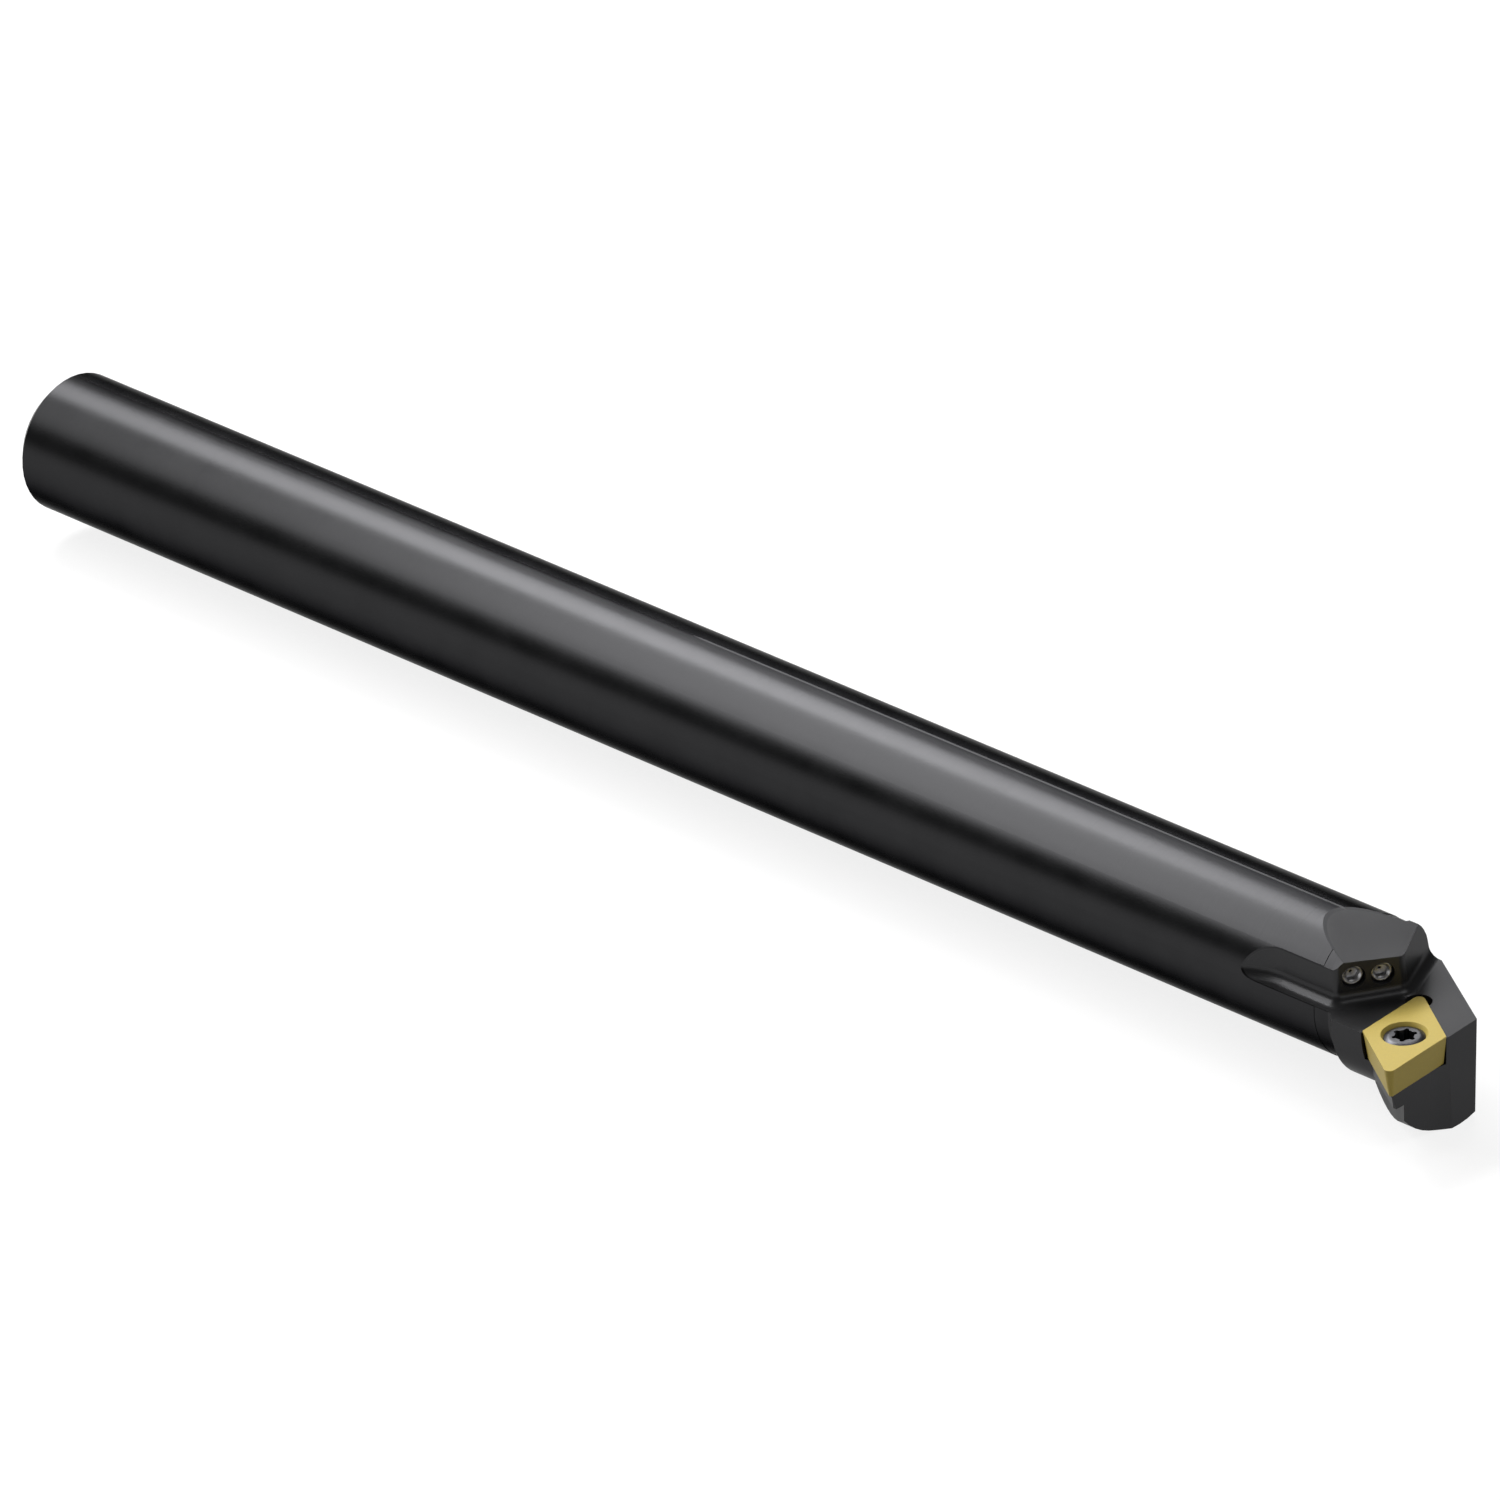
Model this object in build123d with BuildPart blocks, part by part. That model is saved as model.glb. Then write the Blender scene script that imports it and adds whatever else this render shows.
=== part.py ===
"""Boring bar: round steel bar with a clamped 55 degree insert and two coolant jets.

Axes: X runs along the bar from its rear face to the cutting tip, Z is up on the
insert side, Y points away from the work side. The origin is on the bar's axis
at its rear face. Millimetres.
"""
from build123d import *
from math import cos, radians, sin, tan
import os

os.makedirs("parts", exist_ok=True)

# ---------------------------------------------------------------- shank
shank_diameter = 19.05
overall_length = 254.0
functional_width = 15.875      # bar axis to the insert's nose
rear_chamfer = 1.6
shank_radius = shank_diameter / 2

# ---------------------------------------------------------------- insert
inscribed_diameter = 9.525
nose_angle = 55.0
insert_thickness = 3.97
insert_clearance = 7.0         # side relief, degrees
nose_radius = 0.8
insert_bore = 4.4
insert_sink_diameter = 6.0
insert_sink_half_angle = 30.0
insert_edge = inscribed_diameter / sin(radians(nose_angle))

# ---------------------------------------------------------------- tip frame
approach_angle = 93.0          # leading edge, measured from the bar's axis
insert_lean = 5.0              # the insert's face falls towards the work side
bisector_angle = approach_angle + nose_angle / 2
nose_centre = nose_radius / sin(radians(nose_angle / 2))
tip_x = overall_length - nose_radius - nose_centre * cos(radians(bisector_angle))
tip_y = -functional_width + nose_radius - nose_centre * sin(radians(bisector_angle))
tip = Vector(tip_x, tip_y, 0)
tip_plane = Plane(
    origin=tip,
    x_dir=(1, 0, 0),
    z_dir=(0, -sin(radians(insert_lean)), cos(radians(insert_lean))),
)
lead_dir = Vector(cos(radians(approach_angle)), sin(radians(approach_angle)))
side_angle = approach_angle + nose_angle
side_dir = Vector(cos(radians(side_angle)), sin(radians(side_angle)))
lead_corner = lead_dir * insert_edge
side_corner = side_dir * insert_edge
inner_corner = lead_corner + side_corner
insert_centre = inner_corner * 0.5

# ---------------------------------------------------------------- head body
step_x = overall_length - 18.9         # turned relief starts here
head_step = 0.06
neck_taper = 0.02                      # the relief narrows by this towards the collar
collar_radius = 10.08
collar_offset = (-0.64, -0.08)         # collar's axis from the bar's axis, in Y and Z
collar_start = overall_length - 16.1   # foot of the bevel that leads up to it
collar_bevel = 45.0
swing_radius = 12.25                   # clears the smallest bore it may enter
swing_offset = -3.175
nose_block_start = overall_length - 16.0
nose_block_taper = 3.0                 # length and drop of the rear bevel
face_setback = -0.05                   # front face behind the leading edge line
back_relief_angle = 31.0               # far side of the head, from the axis
back_corner_y = 0.85
side_relief = 14.0                     # under the insert's trailing side
side_relief_inset = 0.1
heel_top = -6.0                        # the heel below it is cut back further
heel_angle = 144.0
heel_inset = 2.65
heel_relief = 2.0
lead_relief = 2.0                      # under the insert's leading side
lead_relief_inset = 0.45
lead_relief_end = 16.4                 # along the leading edge, from the tip
lead_relief_radius = 7.0

# ---------------------------------------------------------------- chip space
platform_drop = 0.2                    # below the insert's face
chip_floor_radius = 1.5
gullet_wall = 9.22                     # from the tip, across the platform
gullet_tangent = -25.9
gullet_end_radius = 9.5
facet_start = (-16.37, 10.32)
facet_end = (-12.61, 16.21)
front_wall_point = (-12.59, 17.42)
front_wall_angle = 114.3
rear_corner_radius = 1.0
front_corner_radius = 1.25
top_flat_slope = 15.0
top_flat_lean = 11.0
top_flat_back = overall_length - 23.0

# ---------------------------------------------------------------- insert seat
seat_gap = 0.02                        # beside the two seat walls, at the face
seat_wall_lean = 3.5                   # less than the insert's own clearance
seat_relief_radius = 1.75
seat_relief_centre = 1.9               # from the inner corner, on the bisector
seat_relief_extra = 0.35
screw_hole_gap = 0.03
screw_hole_spare = 0.7                 # below the screw's end

# ---------------------------------------------------------------- insert screw
screw_radius = 1.55                    # thread drawn plain, at its mean radius
screw_reach = 4.8                      # below the insert's underside
screw_tip_chamfer = 0.4
head_radius = 2.65
head_crown_radius = 1.85
head_crown_depth = 0.2
head_rim_depth = 0.48
lobe_circle = 1.315
lobe_radius = 0.32
lobe_core_radius = 1.24
lobe_blend = 0.12
lobe_depth = 1.5
lobe_count = 6

# ---------------------------------------------------------------- coolant
jet_positions = (1.06, 4.82)           # along the facet
jet_heights = (3.24, 3.05)             # above the insert's face plane
jet_hole_gap = 0.06
jet_hole_depth = 3.4
jet_recess = 0.7
jet_radius = 1.5
jet_rim_chamfer = 0.2
jet_dish_radius = 1.15
jet_dish_depth = 0.25
jet_hex = 1.6                          # across flats
jet_hex_sides = 6
jet_hex_depth = 1.0
jet_orifice_radius = 0.2
jet_tail_radius = 0.6
jet_tail_depth = 0.8
feed_radius = 0.8
feed_lengths = (11.0, 8.6)             # facet to supply bore, per jet
supply_radius = 2.25
supply_height = 3.4
supply_end = overall_length - 19.6
supply_inlet_chamfer = 0.8
supply_inlet_angle = 45.0

# ---------------------------------------------------------------- alignment groove
groove_width = 0.36
groove_depth = 0.16
groove_start = 119.0
groove_cutter_radius = 15.0

reach = 240.0                          # cutting solids end well outside the bar
touching = 0.01                        # nearer than this counts as on an edge


def direction(degrees):
    """Unit vector in the horizontal plane."""
    return Vector(cos(radians(degrees)), sin(radians(degrees)))


def rhombus(grow=0.0):
    """Corner points of the insert's outline, optionally moved outwards."""
    outward = direction(bisector_angle) * (-grow / sin(radians(nose_angle / 2)))
    across = direction(bisector_angle - 90) * (grow / cos(radians(nose_angle / 2)))
    return (
        Vector(0, 0) + outward,
        lead_corner + across,
        inner_corner - outward,
        side_corner - across,
    )


def relief_plane(run_angle, relief, inset):
    """Cutting frame along a side of the insert: local Y points out of the bar."""
    normal = direction(run_angle + 90)
    upright = Vector(0, 0, 1) * cos(radians(relief)) + normal * sin(radians(relief))
    return Plane(origin=tip - normal * inset, x_dir=direction(run_angle), z_dir=upright)


# ================================================================ head blank
with BuildPart() as nose_block:
    with BuildSketch(Plane.YZ.offset(nose_block_start)):
        with Locations((swing_offset, 0)):
            Circle(swing_radius)
    extrude(amount=reach)
    with BuildSketch(Plane.YZ.offset(nose_block_start)) as wide_end:
        with Locations((swing_offset, 0)):
            Circle(swing_radius)
    with BuildSketch(Plane.YZ.offset(nose_block_start - nose_block_taper)) as narrow_end:
        with Locations((swing_offset, 0)):
            Circle(swing_radius - nose_block_taper)
    loft(sections=[narrow_end.sketch, wide_end.sketch])
    # side relief below the insert's trailing edge
    with Locations(relief_plane(side_angle, side_relief, side_relief_inset)):
        Box(
            reach, reach, reach,
            align=(Align.CENTER, Align.MIN, Align.CENTER), mode=Mode.SUBTRACT,
        )
    heel_plane = relief_plane(heel_angle, heel_relief, heel_inset)
    with Locations(heel_plane.offset(heel_top)):
        Box(
            reach, reach, reach,
            align=(Align.CENTER, Align.MIN, Align.MAX), mode=Mode.SUBTRACT,
        )

with BuildPart() as collar:
    neck_radius = shank_radius - head_step
    cone_rise = reach * tan(radians(collar_bevel))
    with BuildSketch(Plane.XY):
        Polygon(
            (collar_start, 0),
            (collar_start, neck_radius - neck_taper),
            (collar_start + reach, neck_radius - neck_taper + cone_rise),
            (collar_start + reach, 0),
            align=None,
        )
    revolve(axis=Axis.X)
    with BuildSketch(Plane.YZ.offset(collar_start)):
        with Locations(collar_offset):
            Circle(collar_radius)
    extrude(amount=reach, mode=Mode.INTERSECT)

with BuildPart() as head:
    add(nose_block.part)
    # the widest part of the head lies below the platform only
    with Locations(tip_plane.offset(-platform_drop)):
        Box(
            reach, reach, reach,
            align=(Align.CENTER, Align.CENTER, Align.MIN), mode=Mode.SUBTRACT,
        )
    add(collar.part)
    # relief between the clamped shank and the collar
    with BuildSketch(Plane.XY):
        Polygon(
            (step_x, 0),
            (step_x, neck_radius),
            (collar_start, neck_radius - neck_taper),
            (overall_length, neck_radius - neck_taper),
            (overall_length, 0),
            align=None,
        )
    revolve(axis=Axis.X)
    # everything ahead of the step stays inside the swing circle
    with BuildSketch(Plane.YZ.offset(step_x)):
        with Locations((swing_offset, 0)):
            Circle(swing_radius)
    extrude(amount=reach, mode=Mode.INTERSECT)

# ================================================================ cutting solids
wall_x = gullet_tangent
facet_run = Vector(facet_end[0] - facet_start[0], facet_end[1] - facet_start[1]).normalized()
facet_angle = facet_run.get_angle(Vector(1, 0))
rear_corner = Vector(
    facet_start[0] - (facet_start[1] - gullet_wall) / tan(radians(facet_angle)), gullet_wall
)
wall_run = direction(front_wall_angle)


def meet(point_a, dir_a, point_b, dir_b):
    """Crossing of two lines in the plane."""
    gap = point_b - point_a
    span = dir_a.X * dir_b.Y - dir_a.Y * dir_b.X
    along = (gap.X * dir_b.Y - gap.Y * dir_b.X) / span
    return point_a + dir_a * along


front_corner = meet(
    Vector(*facet_start), facet_run, Vector(*front_wall_point), wall_run
)
far_wall_end = front_corner + wall_run * reach
arc_left = Vector(wall_x - gullet_end_radius, gullet_wall - gullet_end_radius)
arc_middle = Vector(wall_x, gullet_wall - gullet_end_radius) + direction(135) * gullet_end_radius

with BuildPart() as chip_space:
    with BuildSketch(tip_plane.offset(-platform_drop)) as chip_outline:
        with BuildLine():
            ThreePointArc(arc_left, arc_middle, (wall_x, gullet_wall))
            Polyline(
                (wall_x, gullet_wall), rear_corner, front_corner, far_wall_end,
                (reach, far_wall_end.Y), (reach, -reach), (arc_left.X, -reach), arc_left,
            )
        make_face()
        fillet(
            chip_outline.vertices().sort_by_distance(rear_corner)[0],
            radius=rear_corner_radius,
        )
        fillet(
            chip_outline.vertices().sort_by_distance(front_corner)[0],
            radius=front_corner_radius,
        )
    extrude(amount=reach)
    floor_edges = chip_space.faces().sort_by(Axis(tip_plane.origin, tip_plane.z_dir))[0].edges()
    wall_marks = [
        tip_plane.offset(-platform_drop).from_local_coords(mark)
        for mark in (arc_middle, Vector(wall_x + 1, gullet_wall))
    ]
    foot = ShapeList(
        edge for edge in floor_edges
        if min(edge.distance_to(mark) for mark in wall_marks) < touching
        or edge.distance_to(tip_plane.offset(-platform_drop).from_local_coords(rear_corner))
        < rear_corner_radius
        or edge.distance_to(tip_plane.offset(-platform_drop).from_local_coords(front_corner))
        < front_corner_radius
    )
    fillet(foot, radius=chip_floor_radius)

with BuildPart() as seat:
    inner = inner_corner + direction(bisector_angle) * (seat_gap / sin(radians(nose_angle / 2)))
    with BuildSketch(tip_plane):
        Polygon(
            inner, inner - lead_dir * reach, inner - lead_dir * reach - side_dir * reach,
            inner - side_dir * reach, align=None,
        )
    extrude(amount=-insert_thickness, taper=seat_wall_lean)
    relief_centre = inner_corner - direction(bisector_angle) * seat_relief_centre
    with BuildSketch(tip_plane.offset(-insert_thickness - seat_relief_extra)):
        with Locations((relief_centre.X, relief_centre.Y)):
            Circle(seat_relief_radius)
    extrude(amount=reach)
    with BuildSketch(tip_plane.offset(-insert_thickness)):
        with Locations((insert_centre.X, insert_centre.Y)):
            Circle(screw_radius + screw_hole_gap)
    extrude(amount=-screw_reach - screw_hole_spare)

# ---------------------------------------------------------------- jet frames
facet_normal = Vector(facet_run.Y, -facet_run.X)


def tip_direction(flat):
    """World direction of a vector lying in the tip plane."""
    return tip_plane.x_dir * flat.X + tip_plane.y_dir * flat.Y


jet_planes = []
for position, height in zip(jet_positions, jet_heights):
    spot = Vector(*facet_start) + facet_run * position
    centre = tip_plane.from_local_coords(Vector(spot.X, spot.Y, height))
    jet_planes.append(
        Plane(origin=centre, x_dir=tip_direction(facet_run), z_dir=tip_direction(facet_normal))
    )

# ================================================================ bar
with BuildPart() as bar:
    with BuildSketch(Plane.YZ):
        Circle(shank_radius)
    extrude(amount=step_x)
    rear_rim = bar.edges().sort_by(Axis.X)[0]
    chamfer(rear_rim, length=rear_chamfer)
    add(head.part)

    # front face, square to the platform's leading edge line
    face_plane = Plane(
        origin=tip - direction(approach_angle - 90) * face_setback,
        x_dir=direction(approach_angle - 90), z_dir=(0, 0, 1),
    )
    with Locations(face_plane):
        Box(
            reach, reach, reach,
            align=(Align.MIN, Align.CENTER, Align.CENTER), mode=Mode.SUBTRACT,
        )
    # far side of the head, cut back at an angle
    back_corner_x = face_plane.origin.X - (back_corner_y - face_plane.origin.Y) * tan(
        radians(approach_angle - 90)
    )
    back_plane = Plane(
        origin=(back_corner_x, back_corner_y, 0),
        x_dir=direction(90 - back_relief_angle), z_dir=(0, 0, 1),
    )
    with Locations(back_plane):
        Box(
            reach, reach, reach,
            align=(Align.MIN, Align.CENTER, Align.CENTER), mode=Mode.SUBTRACT,
        )
    # relief below the leading edge, ending in a milled radius
    lead_normal = direction(approach_angle - 90)
    lead_axis = (
        Vector(0, 0, 1) * cos(radians(lead_relief)) + lead_normal * sin(radians(lead_relief))
    )
    lead_plane = Plane(
        origin=tip - lead_normal * lead_relief_inset, x_dir=lead_dir, z_dir=lead_axis
    )
    with BuildSketch(lead_plane) as lead_cut:
        with Locations((lead_relief_end, 0)):
            Rectangle(reach, reach, align=(Align.MAX, Align.MAX))
        fillet(
            lead_cut.vertices().sort_by_distance((lead_relief_end, 0, 0))[0],
            radius=lead_relief_radius,
        )
    extrude(amount=reach / 2, both=True, mode=Mode.SUBTRACT)

    add(chip_space.part, mode=Mode.SUBTRACT)
    add(seat.part, mode=Mode.SUBTRACT)

    # sloping flat on top of the head
    flat_plane = Plane(
        origin=(top_flat_back, 0, shank_radius),
        x_dir=(1, 0, -tan(radians(top_flat_slope))),
        z_dir=(tan(radians(top_flat_slope)), -tan(radians(top_flat_lean)), 1),
    )
    with Locations(flat_plane):
        Box(
            reach, reach, reach,
            align=(Align.CENTER, Align.CENTER, Align.MIN), mode=Mode.SUBTRACT,
        )

    # coolant supply from the rear face, and one feed to each jet
    with BuildSketch(Plane.YZ):
        with Locations((0, supply_height)):
            Circle(supply_radius)
    extrude(amount=supply_end, mode=Mode.SUBTRACT)
    with BuildSketch(Plane.YZ):
        with Locations((0, supply_height)):
            Circle(supply_radius + supply_inlet_chamfer)
    extrude(amount=supply_inlet_chamfer, taper=supply_inlet_angle, mode=Mode.SUBTRACT)
    for jet_plane, feed_length in zip(jet_planes, feed_lengths):
        with BuildSketch(jet_plane.offset(-jet_hole_depth)):
            Circle(jet_radius + jet_hole_gap)
        extrude(amount=jet_hole_depth + chip_floor_radius, mode=Mode.SUBTRACT)
        with BuildSketch(jet_plane.offset(-feed_length)):
            Circle(feed_radius)
        extrude(amount=feed_length, mode=Mode.SUBTRACT)

    # alignment groove along the top of the shank
    groove_tip = shank_radius - groove_depth
    side_slope = groove_width / 2 / groove_depth
    groove_top = groove_depth * 2
    with BuildSketch(Plane.YZ.offset(groove_start)):
        Polygon(
            (0, groove_tip),
            (side_slope * groove_top, groove_tip + groove_top),
            (-side_slope * groove_top, groove_tip + groove_top),
            align=None,
        )
    extrude(amount=step_x - groove_start, mode=Mode.SUBTRACT)
    cutter_centre = groove_tip + groove_cutter_radius
    cutter_frame = Plane(origin=(groove_start, 0, cutter_centre), x_dir=(0, 1, 0), z_dir=(1, 0, 0))
    with BuildSketch(cutter_frame):
        Polygon(
            (0, -groove_cutter_radius),
            (side_slope * groove_top, -groove_cutter_radius + groove_top),
            (-side_slope * groove_top, -groove_cutter_radius + groove_top),
            align=None,
        )
    revolve(
        axis=Axis((groove_start, 0, cutter_centre), (0, 1, 0)), mode=Mode.SUBTRACT
    )

bar.part.label = "bar"
export_step(bar.part, "parts/bar.step")

# ================================================================ insert
with BuildPart() as insert:
    with BuildSketch(tip_plane) as top_face:
        Polygon(*rhombus(), align=None)
        acute = [
            top_face.vertices().sort_by_distance(corner)[0]
            for corner in (Vector(0, 0), inner_corner)
        ]
        fillet(acute, radius=nose_radius)
    extrude(amount=-insert_thickness, taper=insert_clearance)
    with BuildSketch(tip_plane):
        with Locations((insert_centre.X, insert_centre.Y)):
            Circle(insert_bore / 2)
    extrude(amount=-insert_thickness, mode=Mode.SUBTRACT)
    with BuildSketch(tip_plane):
        with Locations((insert_centre.X, insert_centre.Y)):
            Circle(insert_sink_diameter / 2)
    sink_depth = (insert_sink_diameter - insert_bore) / 2 / tan(radians(insert_sink_half_angle))
    extrude(amount=-sink_depth, taper=insert_sink_half_angle, mode=Mode.SUBTRACT)

insert.part.label = "insert"
export_step(insert.part, "parts/insert.step")

# ================================================================ insert screw
screw_origin = tip_plane.from_local_coords(Vector(insert_centre.X, insert_centre.Y, 0))
screw_plane = Plane(origin=screw_origin, x_dir=tip_plane.x_dir, z_dir=tip_plane.z_dir)
cone_slope = tan(radians(insert_sink_half_angle))
cone_top_depth = (insert_sink_diameter / 2 - head_radius) / cone_slope
cone_end_depth = (insert_sink_diameter / 2 - screw_radius) / cone_slope
with BuildPart() as insert_screw:
    side_view = Plane(
        origin=screw_origin, x_dir=screw_plane.x_dir, z_dir=-screw_plane.y_dir
    )
    with BuildSketch(side_view):
        Polygon(
            (0, -head_crown_depth),
            (head_crown_radius, -head_crown_depth),
            (head_radius, -head_rim_depth),
            (head_radius, -cone_top_depth),
            (insert_bore / 2, -sink_depth),
            (screw_radius, -cone_end_depth),
            (screw_radius, -insert_thickness - screw_reach + screw_tip_chamfer),
            (screw_radius - screw_tip_chamfer, -insert_thickness - screw_reach),
            (0, -insert_thickness - screw_reach),
            align=None,
        )
    revolve(axis=Axis(screw_origin, screw_plane.z_dir))
    with BuildSketch(screw_plane.offset(-head_crown_depth)) as socket:
        Circle(lobe_core_radius)
        with PolarLocations(lobe_circle, lobe_count):
            Circle(lobe_radius)
        fillet(socket.vertices(), radius=lobe_blend)
    extrude(amount=-lobe_depth, mode=Mode.SUBTRACT)

insert_screw.part.label = "insert_screw"
export_step(insert_screw.part, "parts/insert_screw.step")


# ================================================================ coolant jets
def build_jet(frame):
    """One jet screw, seated on the shoulder of its hole."""
    with BuildPart() as jet:
        with BuildSketch(frame.offset(-jet_hole_depth)):
            Circle(jet_radius)
        extrude(amount=jet_hole_depth - jet_recess)
        outer_rim = jet.edges().sort_by(Axis(frame.origin, frame.z_dir))[-1]
        chamfer(outer_rim, length=jet_rim_chamfer)
        front = frame.offset(-jet_recess)
        with BuildSketch(front):
            Circle(jet_dish_radius)
        with BuildSketch(front.offset(-jet_dish_depth)):
            Circle(jet_hex / 2)
        loft(mode=Mode.SUBTRACT)
        with BuildSketch(front):
            RegularPolygon(jet_hex / 2, jet_hex_sides, major_radius=False)
        extrude(amount=-jet_hex_depth, mode=Mode.SUBTRACT)
        with BuildSketch(front):
            Circle(jet_orifice_radius)
        extrude(amount=-jet_hole_depth, mode=Mode.SUBTRACT)
        with BuildSketch(frame.offset(-jet_hole_depth)):
            Circle(jet_tail_radius)
        extrude(amount=jet_tail_depth, mode=Mode.SUBTRACT)
    return jet


jet_rear = build_jet(jet_planes[0])
jet_rear.part.label = "jet_rear"
export_step(jet_rear.part, "parts/jet_rear.step")

jet_front = build_jet(jet_planes[1])
jet_front.part.label = "jet_front"
export_step(jet_front.part, "parts/jet_front.step")
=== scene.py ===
"""Boring bar: finishes, small edge work and studio for the turned steel bar,
its coated insert, insert screw and two coolant jets. Metres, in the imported
model's own frame: X along the bar to the tip, Z up, -Y the work side."""

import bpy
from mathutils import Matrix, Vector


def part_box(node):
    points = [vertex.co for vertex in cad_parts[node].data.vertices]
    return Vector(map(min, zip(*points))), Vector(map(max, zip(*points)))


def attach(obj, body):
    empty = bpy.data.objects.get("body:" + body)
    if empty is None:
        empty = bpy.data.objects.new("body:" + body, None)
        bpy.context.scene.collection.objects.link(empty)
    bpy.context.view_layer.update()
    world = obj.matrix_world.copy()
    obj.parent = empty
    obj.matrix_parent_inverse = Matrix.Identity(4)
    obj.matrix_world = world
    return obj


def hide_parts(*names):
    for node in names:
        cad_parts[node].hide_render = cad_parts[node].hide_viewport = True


bl_info = {
    "name": "Boring Bar Finishes",
    "version": (1, 0, 0),
    "blender": (4, 5, 0),
    "location": "View3D > Sidebar > Boring Bar",
    "description": "Dresses a boring bar, its insert, screw and coolant jets, and sets its studio",
    "category": "Object",
}

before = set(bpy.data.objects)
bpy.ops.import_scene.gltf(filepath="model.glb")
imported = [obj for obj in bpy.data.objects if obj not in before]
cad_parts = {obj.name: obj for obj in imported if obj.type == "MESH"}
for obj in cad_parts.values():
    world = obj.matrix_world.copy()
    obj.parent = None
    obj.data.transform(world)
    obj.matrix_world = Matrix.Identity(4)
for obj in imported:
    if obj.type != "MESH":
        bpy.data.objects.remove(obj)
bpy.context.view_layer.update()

import math

import bpy
from mathutils import Matrix, Vector

MM = 0.001
BAR_LOW, BAR_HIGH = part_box("bar")
HEAD = Vector((BAR_HIGH.x, 0.0, 0.0))
MIDDLE = Vector((BAR_HIGH.x / 2, 0.0, 0.0))
SHANK_RADIUS = BAR_HIGH.z          # the bar's highest point is on its ground shank
HEAD_START = BAR_HIGH.x - 16.1 * MM    # foot of the bevel that leads up to the collar
MILLED_DEPTH = (0.14 * MM, 0.2 * MM)   # below the shank's radius, where the finish changes
HEAD_BLEND = 0.1 * MM                  # along the bar, over which the finish changes
SHARP_EDGE = math.radians(24)          # from this angle between faces, an edge is rounded
FLAT_ENOUGH = math.radians(0.2)        # under it, facets of one face are merged
SAME_POINT = 0.001 * MM                # nearer than this, mesh points are merged
EDGE_STEPS = 2                         # facets across a rounded edge
GLANCING_GREY = "9c9c9c"               # holds the oxide film dark at a glancing angle

# patterns; what is finer than the render can show is drawn coarser
FILM_PATCH = 6 * MM                # cloudy patches of the oxide film
RING_LENGTH = 40 * MM              # how far a grinding line runs round the bar
RING_DEPTH = 0.012 * MM
CARBIDE_GRAIN = 0.25 * MM          # sintered grain, really 0.01 mm
GRAIN_DEPTH = 0.003 * MM
STEEL_GRAIN = 0.3 * MM             # crystals of the phosphate, really about 0.02 mm

# studio
FLOOR_DROP = 0.05 * MM             # under the bar, so that the two never share a plane
FLOOR_LIFT = 0.84                  # added glow that brings the lit floor to white
WORLD_LEVEL = 0.06
CAMERA_PLACE = (1.74259, -1.64775, 1.09875)
CAMERA_TURN = (math.radians(64.4692), 0, math.radians(44.4327))
CAMERA_LENS = 476.71               # mm, on a sensor 36 mm wide
CAMERA_SENSOR = 36


def linear(code):
    """Linear colour of an sRGB hex value."""
    parts = [int(code[i:i + 2], 16) / 255 for i in (0, 2, 4)]
    return tuple(c / 12.92 if c <= 0.04045 else ((c + 0.055) / 1.055) ** 2.4 for c in parts)


# ------------------------------------------------------------------ settings
class BarFinishes(bpy.types.PropertyGroup):
    """Colours and surface sizes of the bar and its small parts."""
    oxide: bpy.props.FloatVectorProperty(
        name="Black oxide", description="Colour of the blackened steel bar",
        subtype="COLOR", size=3, min=0, max=1, default=linear("2d2d2e"),
    )
    oxide_worn: bpy.props.FloatVectorProperty(
        name="Oxide, thin", description="Where the black oxide lies thinner",
        subtype="COLOR", size=3, min=0, max=1, default=linear("353536"),
    )
    oxide_milled: bpy.props.FloatVectorProperty(
        name="Oxide, milled", description="Colour of the blackened milled head",
        subtype="COLOR", size=3, min=0, max=1, default=linear("3e3e3f"),
    )
    coating: bpy.props.FloatVectorProperty(
        name="Insert coating", description="Colour of the insert's nitride coating",
        subtype="COLOR", size=3, min=0, max=1, default=linear("c4ae57"),
    )
    screw_steel: bpy.props.FloatVectorProperty(
        name="Screw steel", description="Colour of the insert screw",
        subtype="COLOR", size=3, min=0, max=1, default=linear("444447"),
    )
    # painted light: the jets' colour is much lighter than their real dark steel, standing in for
    # light they do not get in the shaded chip space
    jet_steel_painted_light: bpy.props.FloatVectorProperty(
        name="Jet steel", description="Colour of the two coolant jets",
        subtype="COLOR", size=3, min=0, max=1, default=linear("b4b4b6"),
    )
    grind_pitch: bpy.props.FloatProperty(
        name="Grinding line pitch", description="Spacing of the fine rings round the shank",
        unit="LENGTH", min=0.05 * MM, max=2 * MM, default=0.35 * MM,
    )
    edge_break: bpy.props.FloatProperty(
        name="Edge break",
        description="Width of the rounding on the insert's edges; screw and jets have half",
        unit="LENGTH", min=0, max=0.3 * MM, default=0.06 * MM,
    )


class BarStudio(bpy.types.PropertyGroup):
    """Floor and lamps."""
    floor_colour: bpy.props.FloatVectorProperty(
        name="Floor", description="Colour of the plain pale floor",
        subtype="COLOR", size=3, min=0, max=1, default=linear("808080"),
    )
    floor_size: bpy.props.FloatProperty(
        name="Floor size", description="Side of the square floor",
        unit="LENGTH", min=1, default=24,
    )
    key_level: bpy.props.FloatProperty(
        name="Key strip level",
        description="Light on a white card facing the lamp; 1 shows it white",
        min=0, default=0.675,
    )
    head_level: bpy.props.FloatProperty(
        name="Head strip level", description="Level of the short strip lamp above the head",
        min=0, default=0.398,
    )
    side_level: bpy.props.FloatProperty(
        name="Side strip level", description="Level of the strip lamp on the work side",
        min=0, default=0.234,
    )
    tip_level: bpy.props.FloatProperty(
        name="Tip strip level", description="Level of the strip lamp beyond the tip",
        min=0, default=0.138,
    )
    fill_level: bpy.props.FloatProperty(
        name="Fill level",
        description="Level of the two fill lamps over the head; the front one has a third",
        min=0, default=0.112,
    )


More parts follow.
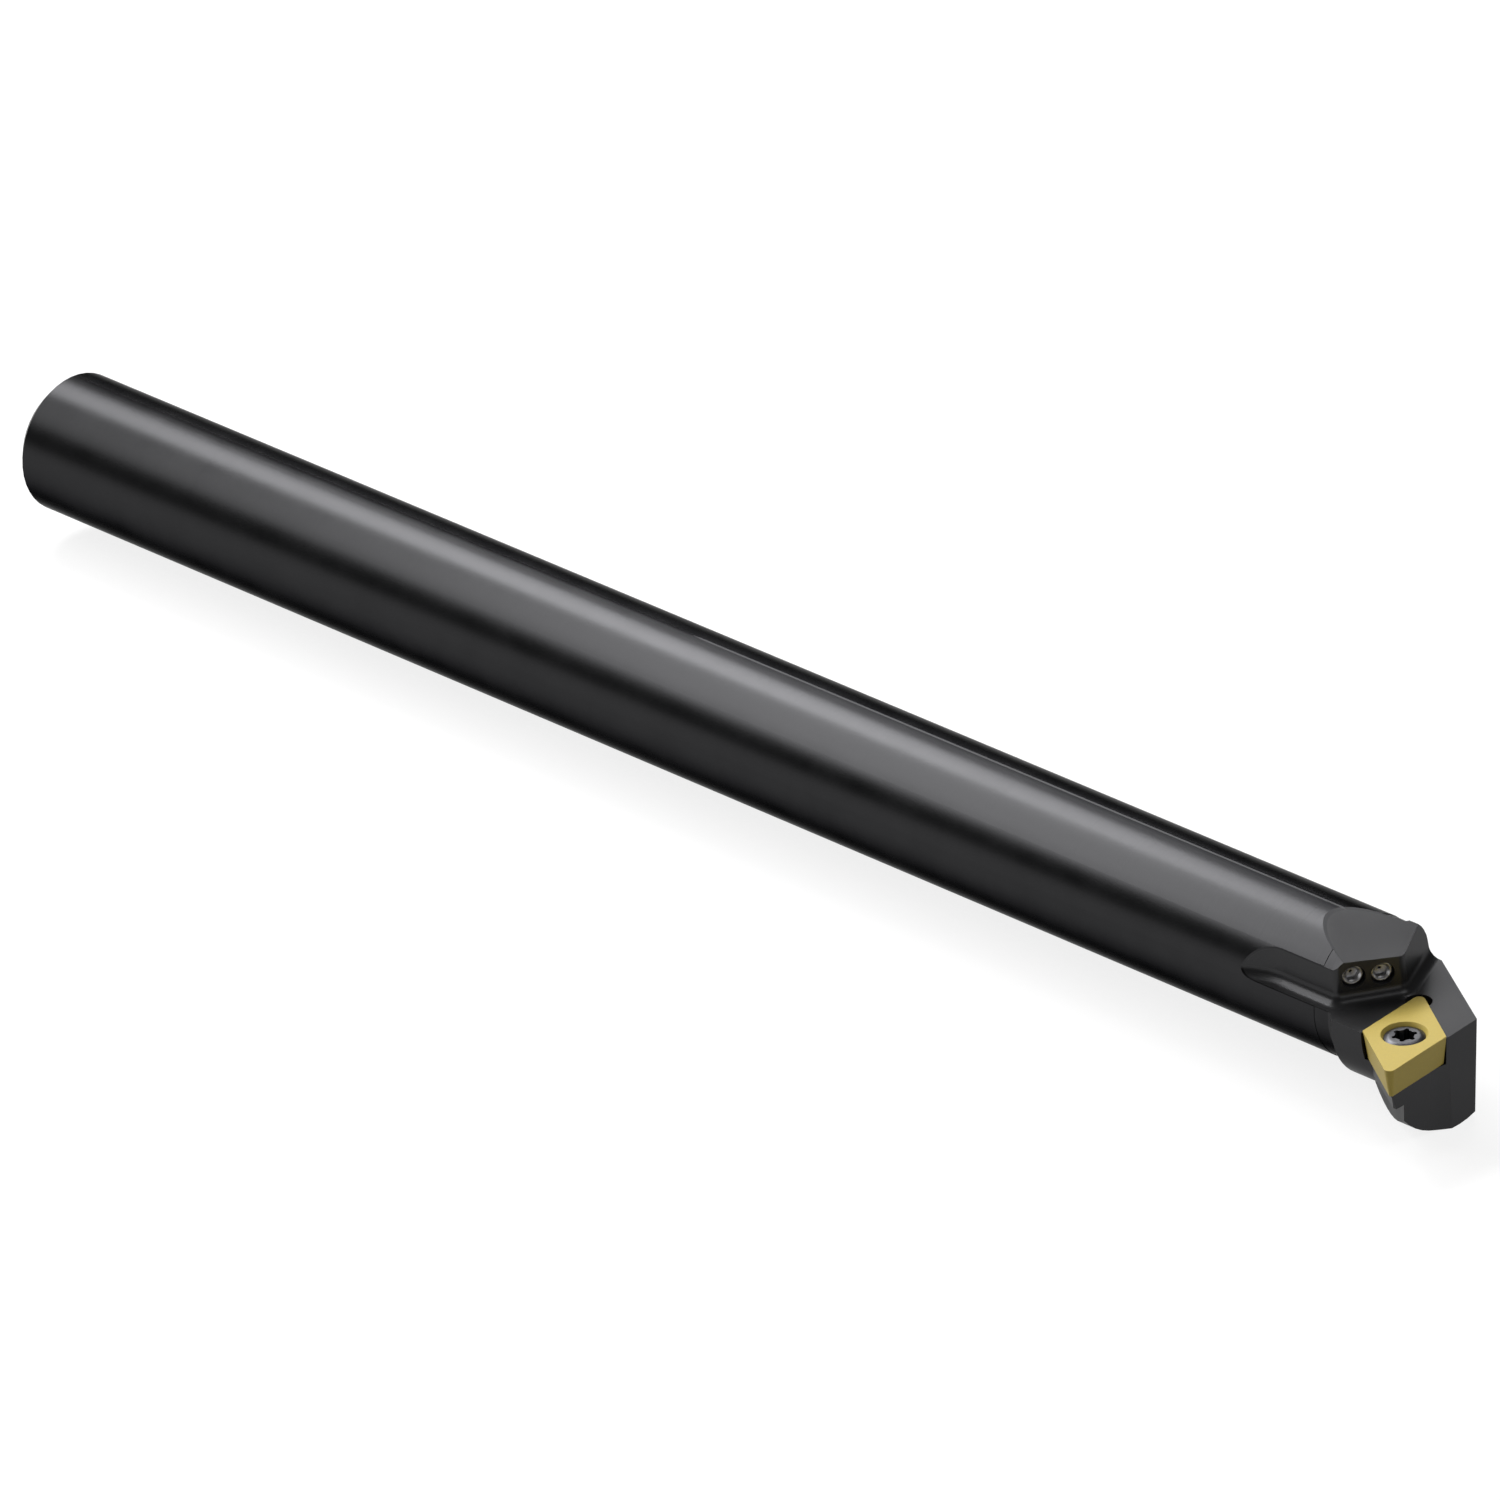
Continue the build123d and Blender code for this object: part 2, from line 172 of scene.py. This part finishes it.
# ------------------------------------------------------------------ helpers
def add_node(tree, kind, settings=None, values=None, links=None):
    """Adds one node with its settings, socket values and incoming links."""
    node = tree.nodes.new(kind)
    for name, value in (settings or {}).items():
        setattr(node, name, value)
    for socket, value in (values or {}).items():
        node.inputs[socket].default_value = value
    for socket, source in (links or {}).items():
        tree.links.new(source, node.inputs[socket])
    return node


def empty_material(name):
    """A new material with only its output node."""
    material = bpy.data.materials.new(name)
    material.use_nodes = True
    material.node_tree.nodes.clear()
    return material, material.node_tree


def finish_material(tree, shader):
    add_node(tree, "ShaderNodeOutputMaterial", links={"Surface": shader.outputs["BSDF"]})


def deselect_all():
    bpy.ops.object.select_all(action="DESELECT")
    bpy.context.view_layer.objects.active = None


def give_finish(node_name, material):
    """Puts a finish on a CAD node's own material slots."""
    for material_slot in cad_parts[node_name].material_slots:
        material_slot.material = material


def edge_broken(node_name, width, material):
    """A closed copy of a CAD node with its machined edges rounded, in its finish."""
    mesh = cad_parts[node_name].data.copy()
    piece = bpy.data.objects.new(node_name + "_edges_broken", mesh)
    bpy.context.scene.collection.objects.link(piece)
    deselect_all()
    piece.select_set(True)
    bpy.context.view_layer.objects.active = piece
    bpy.ops.mesh.customdata_custom_splitnormals_clear()
    bpy.ops.object.mode_set(mode="EDIT")
    bpy.ops.mesh.select_all(action="SELECT")
    bpy.ops.mesh.remove_doubles(threshold=SAME_POINT)
    bpy.ops.mesh.dissolve_limited(angle_limit=FLAT_ENOUGH)
    bpy.ops.object.mode_set(mode="OBJECT")
    rounding = piece.modifiers.new("edge_break", "BEVEL")
    rounding.width = width
    rounding.segments = EDGE_STEPS
    rounding.limit_method = "ANGLE"
    rounding.angle_limit = SHARP_EDGE
    rounding.use_clamp_overlap = False
    bpy.ops.object.modifier_apply(modifier=rounding.name)
    bpy.ops.object.shade_smooth_by_angle(angle=SHARP_EDGE)
    weighting = piece.modifiers.new("flat_faces_first", "WEIGHTED_NORMAL")
    weighting.keep_sharp = True
    bpy.ops.object.modifier_apply(modifier=weighting.name)
    piece.data.materials.clear()
    piece.data.materials.append(material)
    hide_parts(node_name)
    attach(piece, "root")
    return piece


# ------------------------------------------------------------------ finishes
def black_oxide_steel(finishes):
    """Alloy steel, black oxide. The ground shank is a deep satin black whose soft
    highlights run along the bar, and stays dark at a glancing angle; the milled
    head is more matt and a little greyer, so its faces part from each other."""
    material, tree = empty_material("black_oxide_steel")
    place = add_node(tree, "ShaderNodeTexCoord").outputs["Object"]
    # milled: all that lies inside the ground cylinder, and the whole head before it
    across = add_node(
        tree, "ShaderNodeVectorMath", {"operation": "MULTIPLY"}, {1: (0, 1, 1)}, {0: place}
    )
    radius = add_node(
        tree, "ShaderNodeVectorMath", {"operation": "LENGTH"}, {},
        {0: across.outputs["Vector"]},
    )
    inside = add_node(
        tree, "ShaderNodeMapRange", {},
        {
            "From Min": SHANK_RADIUS - MILLED_DEPTH[0],
            "From Max": SHANK_RADIUS - MILLED_DEPTH[1],
            "To Min": 0.0, "To Max": 1.0,
        },
        {"Value": radius.outputs["Value"]},
    )
    along = add_node(tree, "ShaderNodeSeparateXYZ", {}, {}, {0: place})
    head = add_node(
        tree, "ShaderNodeMapRange", {},
        {
            "From Min": HEAD_START, "From Max": HEAD_START + HEAD_BLEND,
            "To Min": 0.0, "To Max": 1.0,
        },
        {"Value": along.outputs["X"]},
    )
    milled = add_node(
        tree, "ShaderNodeMath", {"operation": "MAXIMUM"}, {},
        {0: inside.outputs["Result"], 1: head.outputs["Result"]},
    )
    # cloudy mottling of the oxide film
    cloud = add_node(
        tree, "ShaderNodeTexNoise", {"noise_dimensions": "3D"},
        {"Scale": 1 / FILM_PATCH, "Detail": 3.0, "Roughness": 0.55}, {"Vector": place},
    )
    ground_colour = add_node(
        tree, "ShaderNodeMix", {"data_type": "RGBA"},
        {6: (*finishes.oxide, 1), 7: (*finishes.oxide_worn, 1)},
        {0: cloud.outputs["Fac"]},
    )
    colour = add_node(
        tree, "ShaderNodeMix", {"data_type": "RGBA"}, {7: (*finishes.oxide_milled, 1)},
        {0: milled.outputs[0], 6: ground_colour.outputs[2]},
    )
    # the milled film is in part a dull ceramic, so it is less than fully metallic
    metal = add_node(
        tree, "ShaderNodeMath", {"operation": "MULTIPLY_ADD"}, {1: -0.45, 2: 1.0},
        {0: milled.outputs[0]},
    )
    gloss = add_node(
        tree, "ShaderNodeMapRange", {},
        {"From Min": 0.3, "From Max": 0.7, "To Min": 0.29, "To Max": 0.33},
        {"Value": cloud.outputs["Fac"]},
    )
    # a milled face is a touch duller than a ground one
    roughness = add_node(
        tree, "ShaderNodeMath", {"operation": "MULTIPLY_ADD"}, {1: 0.02},
        {0: milled.outputs[0], 2: gloss.outputs["Result"]},
    )
    # grinding and feed lines: long round the bar, one pitch along it; the real
    # lines are 0.05 mm apart and drawn coarser to show
    rings_place = add_node(
        tree, "ShaderNodeMapping", {"vector_type": "POINT"},
        {"Scale": (1 / finishes.grind_pitch, 1 / RING_LENGTH, 1 / RING_LENGTH)},
        {"Vector": place},
    )
    rings = add_node(
        tree, "ShaderNodeTexNoise", {"noise_dimensions": "3D"},
        {"Scale": 1.0, "Detail": 2.0, "Roughness": 0.6},
        {"Vector": rings_place.outputs["Vector"]},
    )
    lines = add_node(
        tree, "ShaderNodeBump", {}, {"Strength": 0.5, "Distance": RING_DEPTH},
        {"Height": rings.outputs["Fac"]},
    )
    shader = add_node(
        tree, "ShaderNodeBsdfPrincipled", {},
        {"Specular IOR Level": 0.1, "Specular Tint": (*linear(GLANCING_GREY), 1)},
        {
            "Base Color": colour.outputs[2], "Metallic": metal.outputs[0],
            "Roughness": roughness.outputs[0], "Normal": lines.outputs["Normal"],
        },
    )
    finish_material(tree, shader)
    return material


def nitride_coating(finishes):
    """Titanium nitride on ground carbide: warm satin gold with a fine grain. It is
    drawn mostly non-metallic, which keeps the gold even from face to face."""
    material, tree = empty_material("titanium_nitride_coating")
    place = add_node(tree, "ShaderNodeTexCoord").outputs["Object"]
    grain = add_node(
        tree, "ShaderNodeTexNoise", {"noise_dimensions": "3D"},
        {"Scale": 1 / CARBIDE_GRAIN, "Detail": 3.0, "Roughness": 0.6}, {"Vector": place},
    )
    tone = add_node(
        tree, "ShaderNodeMapRange", {},
        {"From Min": 0.3, "From Max": 0.7, "To Min": 0.96, "To Max": 1.04},
        {"Value": grain.outputs["Fac"]},
    )
    colour = add_node(
        tree, "ShaderNodeMix", {"data_type": "RGBA", "blend_type": "MULTIPLY"},
        {0: 1.0, 6: (*finishes.coating, 1)}, {7: tone.outputs["Result"]},
    )
    gloss = add_node(
        tree, "ShaderNodeMapRange", {},
        {"From Min": 0.3, "From Max": 0.7, "To Min": 0.5, "To Max": 0.58},
        {"Value": grain.outputs["Fac"]},
    )
    lines = add_node(
        tree, "ShaderNodeBump", {}, {"Strength": 0.2, "Distance": GRAIN_DEPTH},
        {"Height": grain.outputs["Fac"]},
    )
    shader = add_node(
        tree, "ShaderNodeBsdfPrincipled", {}, {"Metallic": 0.05, "IOR": 1.35},
        {
            "Base Color": colour.outputs[2], "Roughness": gloss.outputs["Result"],
            "Normal": lines.outputs["Normal"],
        },
    )
    finish_material(tree, shader)
    return material


def plain_steel(name, colour_value, metallic, roughness):
    """Turned alloy steel under a thin phosphate: grey metal with a soft grain."""
    material, tree = empty_material(name)
    place = add_node(tree, "ShaderNodeTexCoord").outputs["Object"]
    grain = add_node(
        tree, "ShaderNodeTexNoise", {"noise_dimensions": "3D"},
        {"Scale": 1 / STEEL_GRAIN, "Detail": 3.0, "Roughness": 0.6}, {"Vector": place},
    )
    tone = add_node(
        tree, "ShaderNodeMapRange", {},
        {"From Min": 0.3, "From Max": 0.7, "To Min": 0.88, "To Max": 1.08},
        {"Value": grain.outputs["Fac"]},
    )
    colour = add_node(
        tree, "ShaderNodeMix", {"data_type": "RGBA", "blend_type": "MULTIPLY"},
        {0: 1.0, 6: (*colour_value, 1)}, {7: tone.outputs["Result"]},
    )
    gloss = add_node(
        tree, "ShaderNodeMapRange", {},
        {
            "From Min": 0.3, "From Max": 0.7,
            "To Min": roughness - 0.04, "To Max": roughness + 0.04,
        },
        {"Value": grain.outputs["Fac"]},
    )
    shader = add_node(
        tree, "ShaderNodeBsdfPrincipled", {}, {"Metallic": metallic},
        {"Base Color": colour.outputs[2], "Roughness": gloss.outputs["Result"]},
    )
    finish_material(tree, shader)
    return material


# ------------------------------------------------------------------ operators
class BORING_OT_bar(bpy.types.Operator):
    """Finish the bar in black oxide"""
    bl_idname = "boring.bar"
    bl_label = "Bar"
    bl_options = {"REGISTER", "UNDO"}

    def execute(self, context):
        give_finish("bar", black_oxide_steel(context.scene.bar_finishes))
        return {"FINISHED"}


class BORING_OT_insert(bpy.types.Operator):
    """Coat the insert"""
    bl_idname = "boring.insert"
    bl_label = "Insert"
    bl_options = {"REGISTER", "UNDO"}

    def execute(self, context):
        finishes = context.scene.bar_finishes
        edge_broken("insert", finishes.edge_break, nitride_coating(finishes))
        return {"FINISHED"}


class BORING_OT_insert_screw(bpy.types.Operator):
    """Finish the insert screw"""
    bl_idname = "boring.insert_screw"
    bl_label = "Insert screw"
    bl_options = {"REGISTER", "UNDO"}

    def execute(self, context):
        finishes = context.scene.bar_finishes
        edge_broken(
            "insert_screw", finishes.edge_break / 2,
            plain_steel("screw_steel", finishes.screw_steel, 1.0, 0.36),
        )
        return {"FINISHED"}


class BORING_OT_jets(bpy.types.Operator):
    """Finish the two coolant jets"""
    bl_idname = "boring.jets"
    bl_label = "Coolant jets"
    bl_options = {"REGISTER", "UNDO"}

    def execute(self, context):
        finishes = context.scene.bar_finishes
        # painted light: this grey is lighter than the jets' dark steel, so the shaded jets look
        # lit
        steel = plain_steel("jet_steel_painted_light", finishes.jet_steel_painted_light, 0.85, 0.34)
        for name in ("jet_rear", "jet_front"):
            edge_broken(name, finishes.edge_break / 2, steel)
        return {"FINISHED"}


class BORING_OT_stage(bpy.types.Operator):
    """Set the floor, lamps, world and camera"""
    bl_idname = "boring.stage"
    bl_label = "Stage"
    bl_options = {"REGISTER", "UNDO"}

    def lamp(self, name, target, toward, distance, width, length, level):
        """A soft strip lamp, its length square to the bar; level 1 shows a white
        card that faces it as white."""
        back = Vector(toward).normalized()
        side = (Vector((1, 0, 0)) - back * back.x).normalized()
        turn = Matrix((side, back.cross(side), back)).transposed()
        deselect_all()
        bpy.ops.object.light_add(
            type="AREA", location=target + back * distance, rotation=turn.to_euler()
        )
        light = bpy.context.object
        light.name = name
        light.data.shape = "ELLIPSE" if width == length else "RECTANGLE"
        light.data.size, light.data.size_y = width, length
        light.data.energy = level * (math.pi * distance) ** 2
        light.visible_camera = False

    def execute(self, context):
        studio = context.scene.bar_studio
        deselect_all()
        bpy.ops.mesh.primitive_plane_add(
            size=studio.floor_size, location=(MIDDLE.x, 0, BAR_LOW.z - FLOOR_DROP)
        )
        floor = bpy.context.object
        floor.name = "floor"
        material, tree = empty_material("pale_floor")
        ray = add_node(tree, "ShaderNodeLightPath")
        seen = add_node(
            tree, "ShaderNodeMath", {"operation": "ADD", "use_clamp": True}, {},
            {0: ray.outputs["Is Camera Ray"], 1: ray.outputs["Is Glossy Ray"]},
        )
        seen = add_node(
            tree, "ShaderNodeMath", {"operation": "ADD", "use_clamp": True}, {},
            {0: seen.outputs[0], 1: ray.outputs["Is Transmission Ray"]},
        )
        lift = add_node(
            tree, "ShaderNodeMath", {"operation": "MULTIPLY"}, {1: FLOOR_LIFT},
            {0: seen.outputs[0]},
        )
        shader = add_node(
            tree, "ShaderNodeBsdfPrincipled", {},
            {
                "Base Color": (*studio.floor_colour, 1), "Roughness": 0.9,
                "Specular IOR Level": 0.0, "Emission Color": (1, 1, 1, 1),
            },
            {"Emission Strength": lift.outputs[0]},
        )
        finish_material(tree, shader)
        floor.data.materials.append(material)

        fill = studio.fill_level
        # name, aimed at, direction to the lamp, distance, width, length, level
        lamps = (
            ("key_strip", MIDDLE, (-0.632, 0.217, 0.745), 1.3, 0.3, 0.6, studio.key_level),
            ("side_strip", MIDDLE, (-0.632, -0.38, 0.67), 1.3, 0.3, 0.95, studio.side_level),
            ("head_strip", HEAD, (-0.73, -0.33, 0.66), 0.42, 0.18, 0.34, studio.head_level),
            ("tip_strip", MIDDLE, (0.62, 0.1, 0.78), 1.3, 0.4, 0.7, studio.tip_level),
            ("top_fill", HEAD, (-0.282, 0.39, 0.876), 1.3, 0.3, 0.3, fill),
            ("back_fill", HEAD, (-0.6, 0.57, 0.56), 1.3, 0.4, 0.4, fill),
            ("front_fill", HEAD, (0.92, -0.37, 0.15), 0.9, 0.25, 0.25, fill / 3),
        )
        for lamp in lamps:
            self.lamp(*lamp)

        world = bpy.data.worlds.new("studio_air")
        world.use_nodes = True
        world.node_tree.nodes.clear()
        air = add_node(
            world.node_tree, "ShaderNodeBackground", {},
            {"Color": (1, 1, 1, 1), "Strength": WORLD_LEVEL},
        )
        add_node(
            world.node_tree, "ShaderNodeOutputWorld", links={"Surface": air.outputs["Background"]}
        )
        context.scene.world = world
        context.scene.view_settings.view_transform = "Standard"

        deselect_all()
        bpy.ops.object.camera_add(
            location=CAMERA_PLACE, rotation=CAMERA_TURN
        )
        camera = bpy.context.object
        camera.name = "camera"
        camera.data.sensor_width = CAMERA_SENSOR
        camera.data.lens = CAMERA_LENS
        camera.data.clip_start, camera.data.clip_end = 0.1, 30
        context.scene.camera = camera
        return {"FINISHED"}


class BORING_PT_panel(bpy.types.Panel):
    """Boring bar steps and settings"""
    bl_idname = "BORING_PT_panel"
    bl_label = "Boring Bar"
    bl_space_type = "VIEW_3D"
    bl_region_type = "UI"
    bl_category = "Boring Bar"

    def draw(self, context):
        layout = self.layout
        for settings in (context.scene.bar_finishes, context.scene.bar_studio):
            box = layout.box()
            for name in settings.bl_rna.properties.keys():
                if name not in ("rna_type", "name"):
                    box.prop(settings, name)
        for operator in STEPS:
            layout.operator(operator.bl_idname)


STEPS = (BORING_OT_bar, BORING_OT_insert, BORING_OT_insert_screw, BORING_OT_jets, BORING_OT_stage)
CLASSES = (BarFinishes, BarStudio, *STEPS, BORING_PT_panel)


def register():
    for cls in CLASSES:
        bpy.utils.register_class(cls)
    bpy.types.Scene.bar_finishes = bpy.props.PointerProperty(type=BarFinishes)
    bpy.types.Scene.bar_studio = bpy.props.PointerProperty(type=BarStudio)


def unregister():
    del bpy.types.Scene.bar_studio
    del bpy.types.Scene.bar_finishes
    for cls in reversed(CLASSES):
        bpy.utils.unregister_class(cls)


def main():
    register()
    bpy.ops.boring.bar()
    bpy.ops.boring.insert()
    bpy.ops.boring.insert_screw()
    bpy.ops.boring.jets()
    bpy.ops.boring.stage()


if __name__ == "__main__":
    main()
